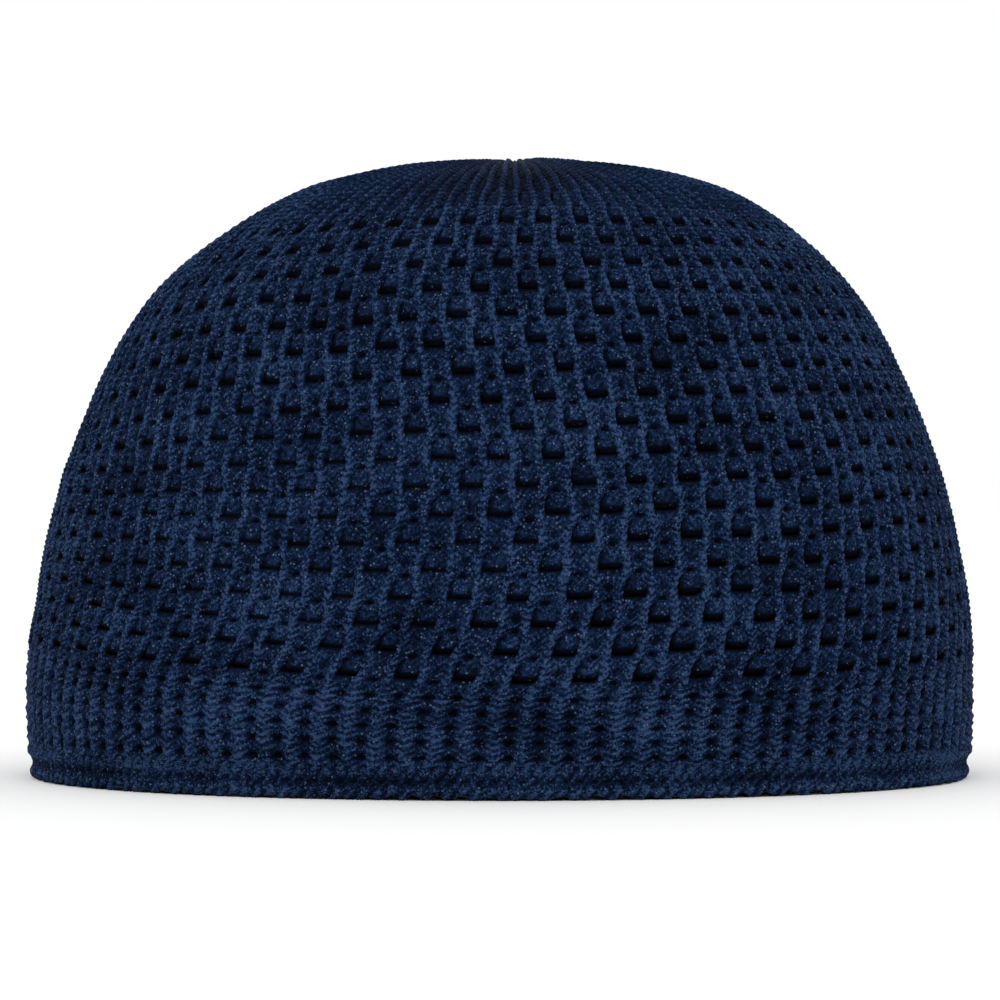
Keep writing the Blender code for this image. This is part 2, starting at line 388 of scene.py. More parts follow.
# %% Places across
def places(opened, slack, gathered, meshed):
    """Where each point is, in columns round the cap: a rib's points are shares
    of the way from the column before it to its own, and then come shares of
    its own column's width."""
    width = 0.50 + (0.24 + 0.03 * slack) * opened - 0.16 * gathered
    width = 0.26 + (width - 0.26) * meshed
    left = np.roll(width, 1, axis=1) / 2 - 0.5
    right = 0.5 - width / 2
    return np.arange(RIBS)[None, :, None] + np.concatenate((
        left[..., None] + (right - left)[..., None] * RIB_STEPS,
        right[..., None] + width[..., None] * COLUMN_STEPS), axis=-1)


# %% [markdown]
# ## How far the mesh stands out
#
# Ribs stand proud, blocks of stitches lie a little lower, and patches lower
# still, bulging in the middle. Sculpting could give this, but then no two
# cells would match. Here each form is a bell or a smooth step of the phase,
# times a strength for each point across.

# %% The relief of the mesh
def mesh_relief(phase, opened, slack, gathered, loose):
    """Millimetres out of the skin: a block that turns into a patch where the
    column is open, less its dot, line and hollow, beside a full round rib."""
    bulge = np.sin(np.pi * np.clip((phase - 0.28) / 0.64, 0, 1)) ** 0.7 * (1 + 0.25 * slack)
    hood = np.clip(1 - np.abs(phase - 0.36) / 0.12, 0, 1)
    patch = 0.24 + bulge[..., None] * np.array([0.16, 0.34, 0.42, 0.36, 0.22])
    patch = patch + 0.14 * hood[..., None]
    lip = np.maximum(ease((phase - 1.76) / 0.20), ease(1 - phase / 0.05))
    block = 0.52 - (0.46 * lip)[..., None] * np.array([0.8, 1.0, 1.0, 1.0, 0.8])

    dot = np.exp(-((phase - 0.96) / 0.085) ** 2) * (1 - gathered)
    line = ease((phase - 0.20) / 0.10) * ease((0.92 - phase) / 0.20)
    line = line * (1 - 0.5 * gathered) * (1 - 0.6 * loose)
    hollow = np.exp(-((phase - 1.42) / 0.17) ** 2) * (1 - gathered) * (1 + 0.3 * slack)
    column = block + (patch - block) * opened[..., None] - 0.75 * gathered[..., None]
    column = column - dot[..., None] * np.array([0.2, 0.9, 1.3, 1.3, 0.5])
    column = column - line[..., None] * np.array([0.50, 0.06, 0.0, 0.0, 0.0])
    column = column - hollow[..., None] * np.array([0.10, 0.55, 0.80, 0.55, 0.10])

    before, dot_before = np.roll(opened, 1, axis=1), np.roll(dot, 1, axis=1)
    tall = 0.92 + 0.07 * np.roll(slack, 3, axis=1)
    edge_left = 0.42 - 0.24 * before - 0.2 * dot_before - 0.5 * gathered
    edge_right = 0.42 - 0.24 * opened - 0.65 * line - 0.5 * gathered
    rib = np.stack((edge_left, 0.76 * tall, tall, 0.76 * tall, edge_right), axis=-1)
    return np.concatenate((rib, column), axis=-1)


# %% [markdown]
# ## The band, and the stitches
#
# In the band the columns are narrow and have five pits on the way up, and the
# ribs are grooved between the pits. The stitches run over everything. On the
# real cap each is a loop that looks like a V. Here they are chevrons: a cosine
# of the course, less the distance from the middle of the rib or of the column.

# %% The relief of the band and of the stitches
def band_relief(rings, slack):
    """Millimetres out of the skin: a rib and a column, less a power of a cosine
    at each pit, and less the square of what is left at each groove."""
    pits_up = BAND_PITS * (rings + BELOW_RINGS) / BAND_RINGS
    level = (0.5 - 0.5 * np.cos(2 * np.pi * pits_up))[:, None, None]
    pit = level ** 2.6 * (1 + 0.22 * slack[..., None])
    groove = (1 - level) ** 2 * (1 + 0.22 * slack[..., None])
    rib = np.array([0.12, 0.46, 0.70, 0.46, 0.12])
    rib = rib - pit * np.array([0.62, 0.20, 0.0, 0.20, 0.62])
    rib = rib - groove * np.array([0.0, 0.18, 0.32, 0.18, 0.0])
    column = np.array([0.08, 0.07, 0.06, 0.07, 0.08])
    column = column - pit * np.array([0.70, 0.78, 0.84, 0.78, 0.70])
    return np.concatenate((rib, column), axis=-1)


def stitch_relief(rings, gathered, meshed):
    """Millimetres more or less at each stitch: the cosine of its phase, times a
    strength that is highest on the ribs and in the band."""
    course = (rings / COURSE_RINGS)[:, None, None] + COURSE_START
    stitch = np.cos(2 * np.pi * stitch_phase(chart_across, course))
    strength = np.concatenate((
        np.full(len(RIB_STEPS), 0.15), np.full(len(COLUMN_STEPS), 0.06)))
    stitch = stitch * strength * (1 - 0.5 * gathered[..., None])
    return stitch * (1.4 - 0.4 * meshed[..., None])


# %% [markdown]
# ## The eyelets' own shape
#
# A hole that is cut along the grid would be a plain box. The yarn pulls its
# foot up and its top down, most at its sides, so its points are moved towards
# its middle. The finish also needs to know where the patches are, and where
# it is deep inside a hole.

# %% Squeezed eyelets, and what the finish needs
def squeeze(phase, loose):
    """Rows by which each point near an eyelet moves: the pinch, times the least
    of a limit and the point's own strength, which is higher in slack cloth."""
    shut = 1 + 2.4 * loose
    narrow = np.array([0.075, 0.064, 0.055, 0.052, 0.055, 0.064])
    narrow = pinch(phase)[..., None] * np.minimum(shut[..., None] * narrow, MOST_SHUT)
    inside_rib = np.zeros(phase.shape + (len(RIB_STEPS) - 2,))
    return np.concatenate((np.roll(narrow[..., :1], 1, axis=1), inside_rib, narrow), axis=-1)


def for_the_finish(phase, opened, meshed):
    """How much of each point is patch, and how near it is to an eyelet, which is a steep bell
    round the eyelet's middle. The nearness sets the painted shade in the hole."""
    across_column = np.ones(len(COLUMN_STEPS))
    patched = (opened * meshed)[..., None] * across_column
    patched = np.concatenate((np.zeros(phase.shape + (len(RIB_STEPS),)), patched), axis=-1)
    near = np.exp(-(from_middle(phase) / (1.30 * MIDDLE)) ** 6) * meshed
    inside_rib = np.zeros(phase.shape + (len(RIB_STEPS) - 2,))
    hole_shade = np.concatenate((
        np.roll(near, 1, axis=1)[..., None], inside_rib,
        near[..., None], near[..., None] * across_column), axis=-1)
    return patched, hole_shade


# %% [markdown]
# ## Where each point of the knit goes
#
# Now the whole chart is laid out as arrays, ring by rib by the points of one
# rib and its column. The band turns into mesh just below the first eyelets.
# Slow waves stand for the pull of the cloth, and each row strays a little.

# %% Laying out the chart
def lay_out(rings):
    """Share, row and lift of each point, how much of it is patch, and how near
    it is to an eyelet: the sum of all the forms above."""
    row = rings / ROW_RINGS
    deep = row[:, None]
    phase = (deep - np.arange(RIBS)[None, :] + 1) % 2
    gathered = ease((deep - GATHER_ROW) / 3.5)
    meshed = ease((deep + 0.50) / 0.42)
    slack = cells(row)
    loose = shutting(deep, RIBS)
    opened = opening(phase) * (1 - 0.6 * gathered)

    mesh = mesh_relief(phase, opened, slack, gathered, loose)
    reach = np.interp(front_run(row), level_run, level_reach)
    mesh = mesh * (0.40 + 0.60 * ease((reach - 0.05) / 0.5))[:, None, None]
    band = band_relief(rings, slack)
    lift = band + (mesh - band) * meshed[..., None]
    lift = lift + stitch_relief(rings, gathered, meshed)

    share = places(opened, slack, gathered, meshed) / RIBS
    deep = np.broadcast_to(deep[..., None], share.shape)
    calm = ease(deep + 2) * ease((ROWS - deep) / 3)
    pull = waves(share, deep, 7, 9, 0.12) * 0.30 * MM / GIRTH
    share = share + (pull + slack[..., None] * 0.0004) * calm
    lift = lift + waves(share, deep, 8, 14, 0.25) * 0.14 * ease(deep + 3)
    deep = deep + squeeze(phase, loose) * ease(deep + 1)
    strays = waves(share, deep, 6, 12, 0.15) * 0.04
    strays = strays + np.roll(slack, 5, axis=1)[..., None] * 0.02
    deep = deep + strays * calm
    return (share, deep, lift * MM) + for_the_finish(phase, opened, meshed)


first_ring = -BELOW_RINGS - BAND_RINGS
rings = np.arange(first_ring, TOP_RING + 1)
share, row, lift, patched, hole_shade = (grid.reshape(len(rings), -1) for grid in lay_out(rings))
print("chart", share.shape)

# %% [markdown]
# ## From the chart to points and normals
#
# The outer face has every point. The inner face needs half as many each way,
# one wall further in. It also lies a quarter of a row lower, because loops of
# knit lean over each other: so an eyelet slants through the cloth, and looks
# dark from the front. A Solidify modifier could make the wall, but it would
# copy every stitch to the inside and go straight through. The normals are the
# cross product of the steps along the ring and up it. They are worked out on
# the whole grid, before it is cut into pieces, so that no edge of a piece shows.

# %% Points and normals
WALL = 1.35 * MM
LEAN_ROWS = 0.25
INNER_RELIEF = 0.3


def leaned(row):
    """A row, less the lean, which fades out at the band and at the top."""
    return row - LEAN_ROWS * ease(row + 1) * ease((ROWS - row) / 3)


def surface(share, row, lift):
    """Points of hung rows on the skin."""
    share, run = hung(share, row)
    return skin(share, run, lift)


def normals_of(points):
    """Unit cross products of the step round the ring and the step up."""
    around = np.roll(points, -1, axis=1) - np.roll(points, 1, axis=1)
    up = np.gradient(points, axis=0)
    normal = np.cross(around, up)
    return normal / np.maximum(np.linalg.norm(normal, axis=-1, keepdims=True), 1e-12)


outer = surface(share, row, lift)
outer_normals = normals_of(outer)
inner = surface(share[::2, ::2], leaned(row[::2, ::2]), lift[::2, ::2] * INNER_RELIEF - WALL)
inner_normals = -normals_of(inner)
print("outer", outer.shape, "inner", inner.shape)

# %% [markdown]
# ## Closed shells with holes
#
# Each piece of knit is one closed shell: an outer face, an inner face, the two
# end walls, and the four walls of each eyelet. Where a wall joins the fine
# outer face to the coarse inner one, each pair of outer edges meets one inner
# edge in three triangles. Lists of point numbers are made as whole arrays. The
# holes could be cut with a Boolean modifier, but leaving cells of the grid out
# is exact, and keeps their edges along the ribs.

# %% Faces of a shell
def quads_of(numbers, kept):
    """One quad for each cell of a grid of point numbers that is kept, going
    round outwards."""
    here, above = numbers[:-1], numbers[1:]
    corners = (here, np.roll(here, -1, axis=1), np.roll(above, -1, axis=1), above)
    return np.stack(corners, axis=-1)[kept]


def every_cell(numbers):
    """All the cells of a grid of point numbers that goes round."""
    return np.ones((numbers.shape[0] - 1, numbers.shape[1]), bool)


def bridge(fine, coarse):
    """Three triangles for each two steps of the fine lines and one of the
    coarse lines."""
    start, middle, end = fine[:, :-1:2], fine[:, 1::2], fine[:, 2::2]
    low, high = coarse[:, :-1], coarse[:, 1:]
    fans = [(start, middle, low), (middle, high, low), (middle, end, high)]
    return np.concatenate([np.stack(fan, axis=-1).reshape(-1, 3) for fan in fans])


def closed_line(numbers):
    """A ring of point numbers that comes back to its first, as one line."""
    return np.append(numbers, numbers[0])[None]


def eyelets_between(low, high):
    """First ring and rib of each eyelet whose row starts between two rings."""
    rows = np.arange(OPEN_ROWS)
    rows = rows[(rows * ROW_RINGS >= low) & (rows * ROW_RINGS < high)]
    row_of, rib_of = np.meshgrid(rows, np.arange(RIBS), indexing="ij")
    chosen = (row_of + rib_of) % 2 == 1
    return row_of[chosen] * ROW_RINGS, rib_of[chosen]


def eyelet_lines(numbers, ring, start, rings_high, steps_wide):
    """Point numbers round each hole: along its foot, up its right side, back
    over its top and down."""
    count = numbers.shape[1]
    along = np.arange(steps_wide + 1)
    up = np.arange(rings_high + 1)
    foot = numbers[ring[:, None], (start[:, None] + along) % count]
    right = numbers[ring[:, None] + up, (start[:, None] + steps_wide) % count]
    top = numbers[ring[:, None] + rings_high, (start[:, None] + along[::-1]) % count]
    left = numbers[ring[:, None] + up[::-1], start[:, None] % count]
    return foot, right, top, left


# %% [markdown]
# ## A mesh from arrays
#
# A mesh takes its points and faces from the arrays at once. It also gets a
# chart: a UV map with the rib number across and the course up, so that the
# stitches of the finish follow the ribs however they sway. An unwrap could
# make one too, but it wouldn't know where a rib starts.

# %% Making a piece
def make_piece(name, points, normals, chart, patch, relief, quads, triangles):
    """A mesh object from arrays, with its normals, its chart and two point
    attributes."""
    mesh = bpy.data.meshes.new(name)
    mesh.vertices.add(len(points))
    mesh.vertices.foreach_set("co", points.astype(np.float32).ravel())
    corners = np.concatenate((quads.ravel(), triangles.ravel())).astype(np.int32)
    sizes = np.concatenate((np.full(len(quads), 4), np.full(len(triangles), 3)))
    starts = np.concatenate(([0], np.cumsum(sizes)[:-1])).astype(np.int32)
    mesh.loops.add(len(corners))
    mesh.loops.foreach_set("vertex_index", corners)
    mesh.polygons.add(len(sizes))
    mesh.polygons.foreach_set("loop_start", starts)
    mesh.update(calc_edges=True)
    mesh.shade_smooth()
    across = chart[corners, 0]
    first = np.repeat(chart[corners[starts], 0], sizes)
    across = across + RIBS * np.round((first - across) / RIBS)
    layer = mesh.uv_layers.new(name="chart")
    layer_points = np.stack((across, chart[corners, 1]), axis=-1)
    layer.data.foreach_set("uv", layer_points.astype(np.float32).ravel())
    for label, values in (("patch", patch), ("relief", relief)):
        attribute = mesh.attributes.new(label, "FLOAT", "POINT")
        attribute.data.foreach_set("value", values.astype(np.float32))
    mesh.normals_split_custom_set_from_vertices(normals.astype(np.float32))
    piece = bpy.data.objects.new(name, mesh)
    bpy.context.scene.collection.objects.link(piece)
    print(name, 2 * len(quads) + len(triangles), "triangles")
    return piece


chart_round = (np.arange(RIBS)[:, None] + chart_across).ravel()
chart_up = rings / COURSE_RINGS
chart = np.stack(np.meshgrid(chart_round, chart_up), axis=-1)

# The relief tells the finish how high a point stands, and the finish paints shade by it: the lower
# a point, the darker. Near an eyelet it is made lower, outside and inside, so that the walls of
# the hole get painted shade.
HOLE_SHADE_OUT, HOLE_SHADE_IN = 1.4, 1.6
relief_out = lift / MM - HOLE_SHADE_OUT * hole_shade
relief_in = (lift / MM - HOLE_SHADE_IN * hole_shade)[::2, ::2]


def knit_piece(name, low, high):
    """The closed shell of the knit between two even rings."""
    fine = slice(low - first_ring, high - first_ring + 1)
    half = slice((low - first_ring) // 2, (high - first_ring) // 2 + 1)
    outside = np.arange(outer[fine, :, 0].size).reshape(outer[fine, :, 0].shape)
    inside = np.arange(inner[half, :, 0].size).reshape(inner[half, :, 0].shape) + outside.size
    kept_out, kept_in = every_cell(outside), every_cell(inside)
    ring, rib = eyelets_between(low, high)
    ring = ring - low
    start = rib * ROLES + COLUMN_EDGE
    steps = ROLES - COLUMN_EDGE
    for up in range(EYELET_RINGS):
        for along in range(steps):
            kept_out[ring + up, (start + along) % outside.shape[1]] = False
            kept_in[(ring + up) // 2, (start + along) // 2 % inside.shape[1]] = False
    walls = [
        bridge(closed_line(outside[0])[:, ::-1], closed_line(inside[0])[:, ::-1]),
        bridge(closed_line(outside[-1]), closed_line(inside[-1])),
    ]
    if len(ring):
        around = eyelet_lines(outside, ring, start, EYELET_RINGS, steps)
        within = eyelet_lines(inside, ring // 2, start // 2, EYELET_RINGS // 2, steps // 2)
        walls += [bridge(a, b) for a, b in zip(around, within)]
    quads = np.concatenate((quads_of(outside, kept_out), quads_of(inside, kept_in)[:, ::-1]))

    def both(outer_values, inner_values):
        """The values of the outer points of this piece, then of its inner ones."""
        width = outer_values.shape[2:]
        return np.concatenate((
            outer_values[fine].reshape(-1, *width), inner_values[half].reshape(-1, *width)))

    return make_piece(
        name, both(outer, inner), both(outer_normals, inner_normals),
        both(chart, chart[::2, ::2]), both(patched, patched[::2, ::2]),
        both(relief_out, relief_in), quads, np.concatenate(walls))


# %% [markdown]
# ## The mesh crown
#
# The crown is one cloth on the real cap, and could be one mesh. Here it is
# three pieces of six rows and one for the gather, because smaller meshes are
# easier to export. They meet ring to ring, a little below a row of eyelets.
# The band is made by the same function, from the rings below the eyelets.

# %% The crown's three pieces of mesh, and the band
PIECES = ("lower", "middle", "upper")
PIECE_ROWS = OPEN_ROWS // len(PIECES)
RINGS_BELOW_EYELET = 2
bounds = [-BELOW_RINGS] + [
    (count + 1) * PIECE_ROWS * ROW_RINGS - RINGS_BELOW_EYELET for count in range(len(PIECES))]
crown_pieces = [
    knit_piece(f"crown_mesh_{label}", low, high)
    for label, low, high in zip(PIECES, bounds[:-1], bounds[1:])]
band_piece = knit_piece("band_knit", first_ring, -BELOW_RINGS)

# %% [markdown]
# ## The gather
#
# At the top the last rows are drawn together on a thread. The cloth folds
# into pleats, the ribs bunch like thin cords, and the columns between them
# are deep and dark. The middle sinks to a small dimple. A cloth simulation of
# a drawn thread would make real folds, but it can't be told how many, so the
# pleats are a cosine here, one for every two ribs. Half as many points round
# are enough, and the first ring has them all, to meet the mesh.

# %% The gather's own grid
gather_low = bounds[-1]
gather_rings = slice(gather_low - first_ring, None)
gather_share = share[gather_rings, ::2]
gather_row = row[gather_rings, ::2]
gather_reach = np.interp(front_run(gather_row), level_run, level_reach)
PLEATS = RIBS // 2
PLEAT_HEIGHT = 0.35 * MM
DIMPLE = 0.7 * MM
POLE_SINK = (0, 0, 0.4 * MM)
# Painted shade: the poles' relief is set low, so the finish paints the middle of the dimple a
# little darker.
POLE_RELIEF = -0.2
pleats = np.cos(2 * np.pi * PLEATS * gather_share) * 0.4
pleats = pleats + waves(gather_share, gather_row, 5, 30, 0.1) * 0.25
pleats = pleats + waves(gather_share, gather_row, 4, 9, 0.1) * 0.2
fold = ease((0.52 - gather_reach) / 0.3) * ease(gather_reach / 0.16)
gather_lift = lift[gather_rings, ::2] * ease(gather_reach / 0.26)
gather_lift = gather_lift + pleats * fold * PLEAT_HEIGHT
gather_relief = gather_lift / MM
gather_lift = gather_lift - DIMPLE * ease((0.50 - gather_reach) / 0.25)
gather_outer = surface(gather_share, gather_row, gather_lift)
gather_inner = surface(gather_share[::2], leaned(gather_row[::2]), gather_lift[::2] * 0.4 - WALL)


def gather_piece(name):
    """The gather as one closed shell, with a fan at each pole. Its values come
    as the fine first ring, the rest outside, the inside and the two poles."""
    fine_ring = outer[gather_rings][0]
    coarse = gather_outer[1:]
    poles = np.array([coarse[-1].mean(axis=0), gather_inner[-1].mean(axis=0)]) - POLE_SINK
    points = [fine_ring, coarse.reshape(-1, 3), gather_inner.reshape(-1, 3), poles]
    first = np.arange(len(fine_ring))
    outside = np.arange(coarse[..., 0].size).reshape(coarse.shape[:2]) + len(first)
    inside = np.arange(gather_inner[..., 0].size).reshape(gather_inner.shape[:2])
    inside = inside + outside[-1, -1] + 1
    pole_out, pole_in = inside[-1, -1] + 1, inside[-1, -1] + 2
    quads = np.concatenate((
        quads_of(outside, every_cell(outside)),
        quads_of(inside, every_cell(inside))[:, ::-1]))
    top_out, top_in = outside[-1], inside[-1]
    triangles = np.concatenate((
        bridge(closed_line(first), closed_line(outside[0])),
        bridge(closed_line(first)[:, ::-1], closed_line(inside[0])[:, ::-1]),
        np.stack((top_out, np.roll(top_out, -1), np.full(len(top_out), pole_out)), axis=-1),
        np.stack((np.roll(top_in, -1), top_in, np.full(len(top_in), pole_in)), axis=-1)))
    normals = [
        outer_normals[gather_rings][0], normals_of(gather_outer)[1:].reshape(-1, 3),
        -normals_of(gather_inner).reshape(-1, 3), np.array([[0, 0, 1.0], [0, 0, -1.0]])]
    charts = chart[gather_rings]
    ends = np.array([[0.0, chart_up[-1]]] * 2)
    charts = [charts[0], charts[1:, ::2].reshape(-1, 2), charts[::2, ::2].reshape(-1, 2), ends]
    relief = [
        relief_out[gather_rings][0], gather_relief[1:].ravel(), gather_relief[::2].ravel(),
        [POLE_RELIEF] * 2]
    patch = patched[gather_rings]
    patch = [patch[0], patch[1:, ::2].ravel(), patch[::2, ::2].ravel(), [0.0, 0.0]]
    return make_piece(
        name, *(np.concatenate(parts) for parts in (points, normals, charts, patch, relief)),
        quads, triangles)


crown_pieces.append(gather_piece("crown_gather"))

# %% [markdown]
# ## The hem
#
# The rim is a rolled hem: a closed loop of a profile carried round the cap.
# The profile is a rounded rectangle, a superellipse. Outside, two rows of
# larger slanted stitches show, with a groove between them. The lower edge
# is scalloped, and its lowest points lie in one plane, which the cap rests on.
# A curve with a bevelled profile would make the loop, but a bevel is the same
# all the way along, and here each point of the profile has its own relief.

# %% The hem
HEM_STEPS = 40
HEM_OUT = 0.55 * MM
HEM_IN = -1.85 * MM
HEM_ROUNDNESS = 0.36
SCALLOP = 0.60 * MM
HEM_STITCHES = 2
# HEM_RELIEF is added to the hem's relief only as the finish reads it: it makes the hem's painted
# shade lighter, and moves no point.
HEM_RELIEF = 0.64


def rounded(value):
    """A superellipse's side: the sine or cosine to a power, with its own sign."""
    return np.sign(value) * np.abs(value) ** HEM_ROUNDNESS


def hem_surface():
    """Points of the hem, its relief and its chart: rings of the profile by
    steps round. Height and depth are the superellipse's two sides, and the
    relief is two rows of slanted cosines less a groove."""
    turn = (np.arange(HEM_STEPS) / HEM_STEPS * 2 * np.pi)[:, None]
    round_share = (np.arange(RIBS * ROLES) / (RIBS * ROLES))[None, :]
    middle, half = (HEM_OUT + HEM_IN) / 2, (HEM_OUT - HEM_IN) / 2
    height = HEM_TOP / 2 * (1 - rounded(np.cos(turn))) + 0 * round_share
    out = middle + half * rounded(np.sin(turn)) + 0 * round_share
    outside = ease(np.sin(turn) * 1.6)
    tall = height / HEM_TOP
    slack = waves(round_share, tall, 9, 40, 0.4)
    columns = round_share * RIBS
    upper = np.cos(2 * np.pi * (columns * HEM_STITCHES - tall * 1.6))
    lower = np.cos(2 * np.pi * (columns * HEM_STITCHES - tall * 2.0 + 0.4))
    mixing = ease((tall - 0.42) / 0.16)
    stitches = upper * mixing + lower * (1 - mixing)
    groove = np.exp(-((tall - 0.50) / 0.07) ** 2) + 0.3 * np.exp(-((tall - 1.0) / 0.06) ** 2)
    relief = (0.42 * stitches - 0.70 * groove + 0.16 * slack) * outside
    foot = ease(1 - tall / 0.35)
    scallop = 0.5 - 0.5 * np.cos(2 * np.pi * columns + 2.2 * waves(round_share, 0, 5, 17, 0))
    lifted = foot * scallop * (1 + 0.5 * waves(round_share, 0, 6, 23, 0)) * SCALLOP
    height = np.clip(height + np.maximum(lifted, 0), 0, HEM_TOP)
    twist = HANG[0, 3] / RIBS
    points = skin(round_share + twist, run_at(height), out + relief * MM)
    course = HEM_STEPS / 2 * turn / np.pi
    chart = np.stack((columns + 0 * tall, course + 0 * columns), axis=-1)
    return points, relief, chart


def hem_piece(name):
    """The hem as a closed loop: the last ring of the profile meets the first."""
    points, relief, chart = hem_surface()
    numbers = np.arange(points[..., 0].size).reshape(points.shape[:2])
    looped = np.concatenate((numbers, numbers[:1]))
    quads = quads_of(looped, every_cell(looped))
    around = np.roll(points, -1, axis=1) - np.roll(points, 1, axis=1)
    up = np.roll(points, -1, axis=0) - np.roll(points, 1, axis=0)
    normals = np.cross(around, up)
    normals /= np.linalg.norm(normals, axis=-1, keepdims=True)
    no_triangles = np.empty((0, 3), int)
    return make_piece(
        name, points.reshape(-1, 3), normals.reshape(-1, 3), chart.reshape(-1, 2),
        np.zeros(relief.size), relief.ravel() + HEM_RELIEF, quads, no_triangles)


hem = hem_piece("hem_roll")

# %% [markdown]
# ## Expressions for shader maths
#
# A finish is a tree of nodes. It could be drawn by hand in the Shader Editor,
# or linked one socket at a time. Writing it as sums and products is shorter.
# A wire is one output of a node. Adding two wires adds a Math node. Any other
# node comes from one method, which sets its settings and then its inputs.

# %% Wires and finishes
class Wire:
    """An output socket. Python's operators on it add Math nodes."""

    def __init__(self, finish, socket):
        self.finish = finish
        self.socket = socket

    def out(self, name):
        """Another output of the same node."""
        return Wire(self.finish, self.socket.node.outputs[name])

    def math(self, operation, *others, first=None):
        """A Math node of this wire and up to two more values."""
        values = [self, *others] if first is None else [first, self, *others]
        return self.finish.node(
            "ShaderNodeMath", {"operation": operation}, dict(enumerate(values)))

    def __add__(self, other):
        return self.math("ADD", other)

    def __sub__(self, other):
        return self.math("SUBTRACT", other)

    def __rsub__(self, other):
        return self.math("SUBTRACT", first=other)

    def __mul__(self, other):
        return self.math("MULTIPLY", other)

    def __abs__(self):
        return self.math("ABSOLUTE")

    def __gt__(self, other):
        return self.math("GREATER_THAN", other)

    def between(self, low, high):
        """A smooth step from 0 at low to 1 at high."""
        return self.finish.node(
            "ShaderNodeMapRange", {"interpolation_type": "SMOOTHSTEP"},
            {"Value": self, "From Min": low, "From Max": high})

    __radd__ = __add__
    __rmul__ = __mul__


class Finish:
    """A new material, whose nodes are added one by one."""

    def __init__(self, name):
        self.material = bpy.data.materials.new(name)
        self.material.use_nodes = True
        self.tree = self.material.node_tree
        self.tree.nodes.clear()

    def node(self, kind, settings=None, inputs=None, output=0):
        """A node of a type, with its settings, then the values or links of its sockets."""
        made = self.tree.nodes.new(kind)
        for label, value in (settings or {}).items():
            setattr(made, label, value)
        for label, value in (inputs or {}).items():
            if isinstance(value, Wire):
                self.tree.links.new(value.socket, made.inputs[label])
            else:
                made.inputs[label].default_value = value
        return Wire(self, made.outputs[output]) if made.outputs else None

    def mix(self, factor, low, high):
        """A colour between two colours."""
        return self.node(
            "ShaderNodeMix", {"data_type": "RGBA"}, {0: factor, 6: low, 7: high}, output=2)

    def attribute(self, name):
        """A number kept on the points of the piece."""
        return self.node("ShaderNodeAttribute", {"attribute_name": name}).out("Fac")


# %% [markdown]
# ## Navy nylon
#
# The yarn is a soft, slightly shiny nylon of many fine filaments. Seen close, it is a speckle:
# dark gaps, mid blue threads, and a few filaments that catch the light, which are painted
# highlights. Each stitch gets its own brightness. Light and shade are painted by how high a point
# stands: the crests of the ribs lighter, the grooves darker. The patches are painted a little
# darker, as shade between the ribs, and are smoother than the ribs. The stitches' chevrons are in
# the bump too, at the same phase as in the mesh. Hair strands would give the filaments, but they
# are heavy and don't export, and at this distance a bead of colour about half a millimetre across
# looks the same.

# %% The stitches of the yarn
def colour(red, green, blue):
    """A colour with full opacity, from linear red, green and blue."""
    return (red, green, blue, 1.0)


def stitch_nodes(finish, place):
    """The stitches at the mesh's phase, from 0 to 1, and a random number that
    each stitch has to itself."""
    chart = finish.node("ShaderNodeUVMap", {"uv_map": "chart"})
    across = finish.node("ShaderNodeSeparateXYZ", {}, {0: chart})
    up = across.out("Y")
    part = across.math("FRACT")
    wander = finish.node("ShaderNodeTexNoise", {}, {
        "Vector": place, "Scale": 420.0, "Detail": 0.0}).out("Fac")
    nearer = abs(part - RIB_PART / 2).math("MINIMUM", abs(part - (1 + RIB_PART) / 2))
    phase = up + COURSE_START - nearer * STITCH_SLANT + (wander - 0.5) * 0.9
    stitch = (phase * (2 * np.pi)).math("COSINE") * 0.5 + 0.5
    wale = across.math("FLOOR") * 4 + (part > RIB_PART / 2)
    wale = wale + (part > RIB_PART) + (part > (1 + RIB_PART) / 2)
    cell = finish.node("ShaderNodeCombineXYZ", {}, {0: wale, 1: (phase + 0.5).math("FLOOR")})
    own = finish.node("ShaderNodeTexWhiteNoise", {"noise_dimensions": "2D"}, {"Vector": cell})
    return stitch, own.out("Value")


# %% [markdown]
# The filaments are small beads with a finer speckle over them, and a slow
# drift of shade. In the tight pleats at the top, the grain and the glints
# fade, because the yarn lies smoother there.

# %% The filaments of the yarn
TIGHT_FROM, TIGHT_TO = 104 * MM, 122 * MM


def filament_nodes(finish, place):
    """Grain, glint, a colour of its own for each bead, drift and tightness."""
    bead = finish.node("ShaderNodeTexVoronoi", {"feature": "F1"}, {
        "Vector": place, "Scale": 1800.0, "Randomness": 1.0})
    luck = finish.node("ShaderNodeSeparateColor", {}, {0: bead.out("Color")})
    round_bead = 1 - bead.between(0.10, 0.60)
    speckle = finish.node("ShaderNodeTexNoise", {}, {
        "Vector": place, "Scale": 1500.0, "Detail": 2.0, "Roughness": 0.7}).out("Fac")
    drift = finish.node("ShaderNodeTexNoise", {}, {
        "Vector": place, "Scale": 90.0, "Detail": 2.0}).out("Fac")
    height = finish.node("ShaderNodeSeparateXYZ", {}, {0: place}).out("Z")
    tight = height.between(TIGHT_FROM, TIGHT_TO)
    glint = round_bead * luck.between(0.90, 0.97) * (1 - tight)
    grain = round_bead * (luck * 1.25 + 0.12) + speckle.between(0.38, 0.64) * 0.36
    grain = grain * (1 - tight * 0.60) + tight * 0.30
    return grain, glint, luck, drift, tight


# %% [markdown]
# The colour goes from the dark gaps to the threads and on to the filaments that shine, by how
# light each point is. That lightness carries painted shade, and the shine is a painted highlight.
# Deep in an eyelet the colour is painted nearly black, as shade, because what little light gets in
# there is lost between the loops. One navy with a bump would be flat: real yarn varies more in
# colour than in height.

